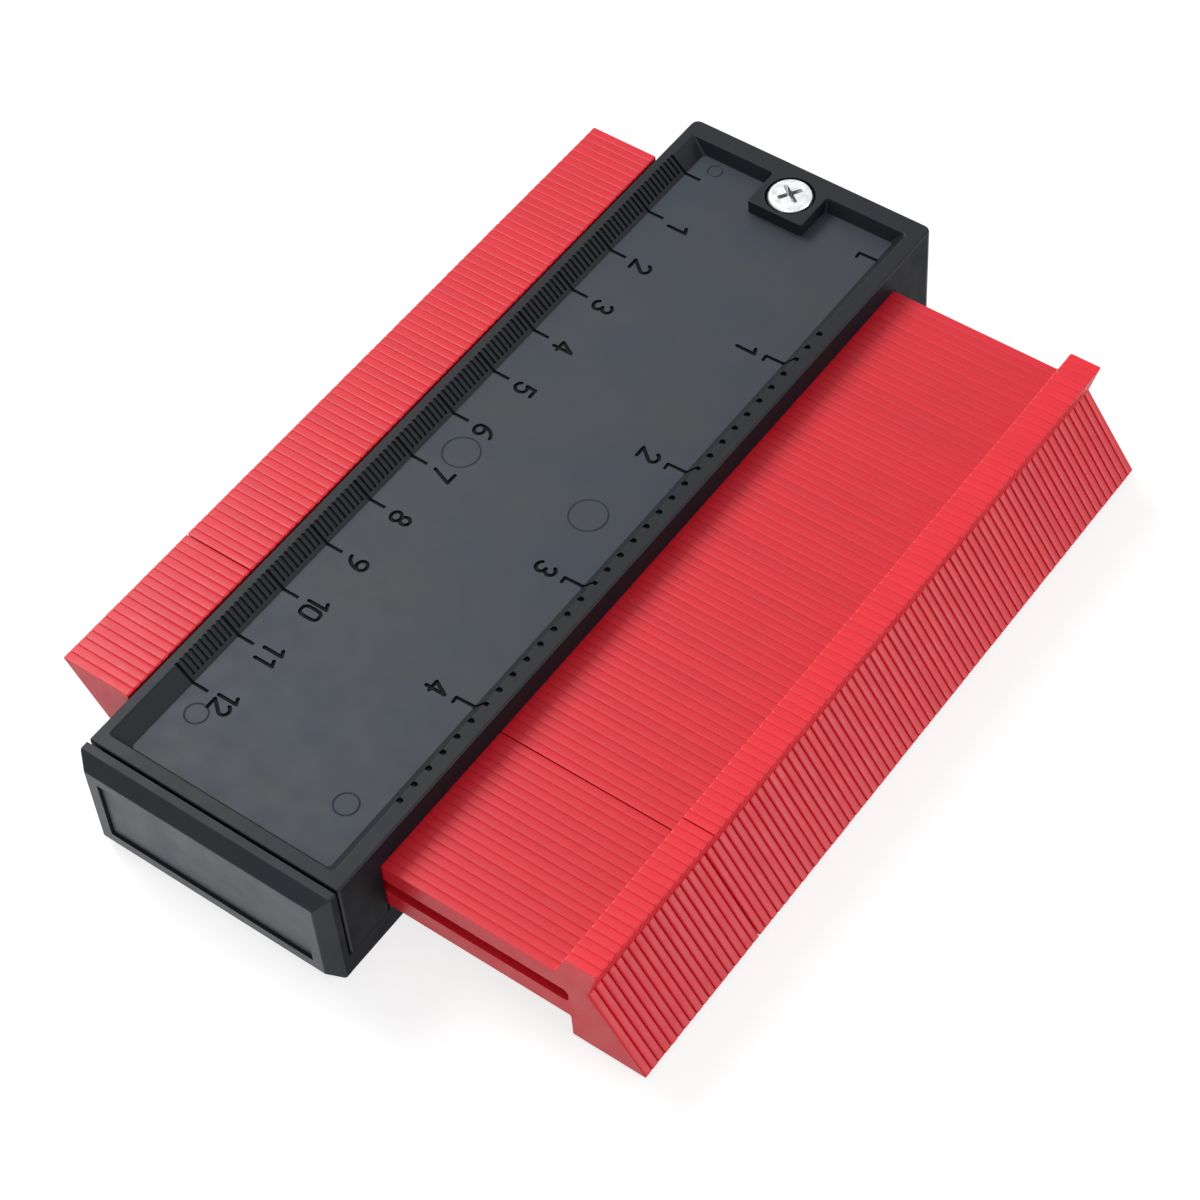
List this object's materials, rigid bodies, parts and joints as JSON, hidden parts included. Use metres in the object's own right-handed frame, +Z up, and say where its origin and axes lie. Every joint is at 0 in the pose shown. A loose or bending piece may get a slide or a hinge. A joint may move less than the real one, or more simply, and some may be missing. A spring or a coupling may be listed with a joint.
{
  "type": "contour gauge",
  "caption": "Profile copying gauge: a stack of thin sliding plastic leaves held in a slotted, ruled two-part body that one screw clamps",
  "frame": {"origin": "centre of the footprint on the surface that the gauge rests on, with every leaf pushed towards +X until its left head meets the body", "axes": "+Z up, out of the ruled face; +Y along the body towards the screw end; +X the way the leaves slide, towards the side where they stand out in the picture"},
  "size_m": [0.1004, 0.1494, 0.0201],
  "materials": {
    "black_cover": "moulded black ABS, fine satin texture",
    "black_base": "moulded black ABS, fine satin texture",
    "black_guide": "moulded black ABS, plain",
    "zinc_screw": "bright zinc plate",
    "red_leaf": "moulded red ABS, satin"
  },
  "bodies": {
    "body": {"top_cover": "black_cover", "base_tray": "black_base", "guide_bar": "black_guide", "cover_screw": "zinc_screw"},
    "blade_01": {"leaf_blade_01": "red_leaf"},
    "blade_02": {"leaf_blade_02": "red_leaf"},
    "blade_03": {"leaf_blade_03": "red_leaf"},
    "blade_04": {"leaf_blade_04": "red_leaf"},
    "blade_05": {"leaf_blade_05": "red_leaf"},
    "blade_06": {"leaf_blade_06": "red_leaf"},
    "blade_07": {"leaf_blade_07": "red_leaf"},
    "blade_08": {"leaf_blade_08": "red_leaf"},
    "blade_09": {"leaf_blade_09": "red_leaf"},
    "blade_10": {"leaf_blade_10": "red_leaf"},
    "blade_11": {"leaf_blade_11": "red_leaf"},
    "blade_12": {"leaf_blade_12": "red_leaf"},
    "blade_13": {"leaf_blade_13": "red_leaf"},
    "blade_14": {"leaf_blade_14": "red_leaf"},
    "blade_15": {"leaf_blade_15": "red_leaf"},
    "blade_16": {"leaf_blade_16": "red_leaf"},
    "blade_17": {"leaf_blade_17": "red_leaf"},
    "blade_18": {"leaf_blade_18": "red_leaf"},
    "blade_19": {"leaf_blade_19": "red_leaf"},
    "blade_20": {"leaf_blade_20": "red_leaf"},
    "blade_21": {"leaf_blade_21": "red_leaf"},
    "blade_22": {"leaf_blade_22": "red_leaf"},
    "blade_23": {"leaf_blade_23": "red_leaf"},
    "blade_24": {"leaf_blade_24": "red_leaf"},
    "blade_25": {"leaf_blade_25": "red_leaf"},
    "blade_26": {"leaf_blade_26": "red_leaf"},
    "blade_27": {"leaf_blade_27": "red_leaf"},
    "blade_28": {"leaf_blade_28": "red_leaf"},
    "blade_29": {"leaf_blade_29": "red_leaf"},
    "blade_30": {"leaf_blade_30": "red_leaf"},
    "blade_31": {"leaf_blade_31": "red_leaf"},
    "blade_32": {"leaf_blade_32": "red_leaf"},
    "blade_33": {"leaf_blade_33": "red_leaf"},
    "blade_34": {"leaf_blade_34": "red_leaf"},
    "blade_35": {"leaf_blade_35": "red_leaf"},
    "blade_36": {"leaf_blade_36": "red_leaf"},
    "blade_37": {"leaf_blade_37": "red_leaf"},
    "blade_38": {"leaf_blade_38": "red_leaf"},
    "blade_39": {"leaf_blade_39": "red_leaf"},
    "blade_40": {"leaf_blade_40": "red_leaf"},
    "blade_41": {"leaf_blade_41": "red_leaf"},
    "blade_42": {"leaf_blade_42": "red_leaf"},
    "blade_43": {"leaf_blade_43": "red_leaf"}
  },
  "joints": [
    {"name": "slide_01", "type": "slide", "parent": "body", "child": "blade_01", "axis": [1, 0, 0], "range_m": [-0.029, 0]},
    {"name": "slide_02", "type": "slide", "parent": "body", "child": "blade_02", "axis": [1, 0, 0], "range_m": [-0.029, 0]},
    {"name": "slide_03", "type": "slide", "parent": "body", "child": "blade_03", "axis": [1, 0, 0], "range_m": [-0.029, 0]},
    {"name": "slide_04", "type": "slide", "parent": "body", "child": "blade_04", "axis": [1, 0, 0], "range_m": [-0.029, 0]},
    {"name": "slide_05", "type": "slide", "parent": "body", "child": "blade_05", "axis": [1, 0, 0], "range_m": [-0.029, 0]},
    {"name": "slide_06", "type": "slide", "parent": "body", "child": "blade_06", "axis": [1, 0, 0], "range_m": [-0.029, 0]},
    {"name": "slide_07", "type": "slide", "parent": "body", "child": "blade_07", "axis": [1, 0, 0], "range_m": [-0.029, 0]},
    {"name": "slide_08", "type": "slide", "parent": "body", "child": "blade_08", "axis": [1, 0, 0], "range_m": [-0.029, 0]},
    {"name": "slide_09", "type": "slide", "parent": "body", "child": "blade_09", "axis": [1, 0, 0], "range_m": [-0.029, 0]},
    {"name": "slide_10", "type": "slide", "parent": "body", "child": "blade_10", "axis": [1, 0, 0], "range_m": [-0.029, 0]},
    {"name": "slide_11", "type": "slide", "parent": "body", "child": "blade_11", "axis": [1, 0, 0], "range_m": [-0.029, 0]},
    {"name": "slide_12", "type": "slide", "parent": "body", "child": "blade_12", "axis": [1, 0, 0], "range_m": [-0.029, 0]},
    {"name": "slide_13", "type": "slide", "parent": "body", "child": "blade_13", "axis": [1, 0, 0], "range_m": [-0.029, 0]},
    {"name": "slide_14", "type": "slide", "parent": "body", "child": "blade_14", "axis": [1, 0, 0], "range_m": [-0.029, 0]},
    {"name": "slide_15", "type": "slide", "parent": "body", "child": "blade_15", "axis": [1, 0, 0], "range_m": [-0.029, 0]},
    {"name": "slide_16", "type": "slide", "parent": "body", "child": "blade_16", "axis": [1, 0, 0], "range_m": [-0.029, 0]},
    {"name": "slide_17", "type": "slide", "parent": "body", "child": "blade_17", "axis": [1, 0, 0], "range_m": [-0.029, 0]},
    {"name": "slide_18", "type": "slide", "parent": "body", "child": "blade_18", "axis": [1, 0, 0], "range_m": [-0.029, 0]},
    {"name": "slide_19", "type": "slide", "parent": "body", "child": "blade_19", "axis": [1, 0, 0], "range_m": [-0.029, 0]},
    {"name": "slide_20", "type": "slide", "parent": "body", "child": "blade_20", "axis": [1, 0, 0], "range_m": [-0.029, 0]},
    {"name": "slide_21", "type": "slide", "parent": "body", "child": "blade_21", "axis": [1, 0, 0], "range_m": [-0.029, 0]},
    {"name": "slide_22", "type": "slide", "parent": "body", "child": "blade_22", "axis": [1, 0, 0], "range_m": [-0.029, 0]},
    {"name": "slide_23", "type": "slide", "parent": "body", "child": "blade_23", "axis": [1, 0, 0], "range_m": [-0.029, 0]},
    {"name": "slide_24", "type": "slide", "parent": "body", "child": "blade_24", "axis": [1, 0, 0], "range_m": [-0.029, 0]},
    {"name": "slide_25", "type": "slide", "parent": "body", "child": "blade_25", "axis": [1, 0, 0], "range_m": [-0.029, 0]},
    {"name": "slide_26", "type": "slide", "parent": "body", "child": "blade_26", "axis": [1, 0, 0], "range_m": [-0.029, 0]},
    {"name": "slide_27", "type": "slide", "parent": "body", "child": "blade_27", "axis": [1, 0, 0], "range_m": [-0.029, 0]},
    {"name": "slide_28", "type": "slide", "parent": "body", "child": "blade_28", "axis": [1, 0, 0], "range_m": [-0.029, 0]},
    {"name": "slide_29", "type": "slide", "parent": "body", "child": "blade_29", "axis": [1, 0, 0], "range_m": [-0.029, 0]},
    {"name": "slide_30", "type": "slide", "parent": "body", "child": "blade_30", "axis": [1, 0, 0], "range_m": [-0.029, 0]},
    {"name": "slide_31", "type": "slide", "parent": "body", "child": "blade_31", "axis": [1, 0, 0], "range_m": [-0.029, 0]},
    {"name": "slide_32", "type": "slide", "parent": "body", "child": "blade_32", "axis": [1, 0, 0], "range_m": [-0.029, 0]},
    {"name": "slide_33", "type": "slide", "parent": "body", "child": "blade_33", "axis": [1, 0, 0], "range_m": [-0.029, 0]},
    {"name": "slide_34", "type": "slide", "parent": "body", "child": "blade_34", "axis": [1, 0, 0], "range_m": [-0.029, 0]},
    {"name": "slide_35", "type": "slide", "parent": "body", "child": "blade_35", "axis": [1, 0, 0], "range_m": [-0.029, 0]},
    {"name": "slide_36", "type": "slide", "parent": "body", "child": "blade_36", "axis": [1, 0, 0], "range_m": [-0.029, 0]},
    {"name": "slide_37", "type": "slide", "parent": "body", "child": "blade_37", "axis": [1, 0, 0], "range_m": [-0.029, 0]},
    {"name": "slide_38", "type": "slide", "parent": "body", "child": "blade_38", "axis": [1, 0, 0], "range_m": [-0.029, 0]},
    {"name": "slide_39", "type": "slide", "parent": "body", "child": "blade_39", "axis": [1, 0, 0], "range_m": [-0.029, 0]},
    {"name": "slide_40", "type": "slide", "parent": "body", "child": "blade_40", "axis": [1, 0, 0], "range_m": [-0.029, 0]},
    {"name": "slide_41", "type": "slide", "parent": "body", "child": "blade_41", "axis": [1, 0, 0], "range_m": [-0.029, 0]},
    {"name": "slide_42", "type": "slide", "parent": "body", "child": "blade_42", "axis": [1, 0, 0], "range_m": [-0.029, 0]},
    {"name": "slide_43", "type": "slide", "parent": "body", "child": "blade_43", "axis": [1, 0, 0], "range_m": [-0.029, 0]}
  ]
}
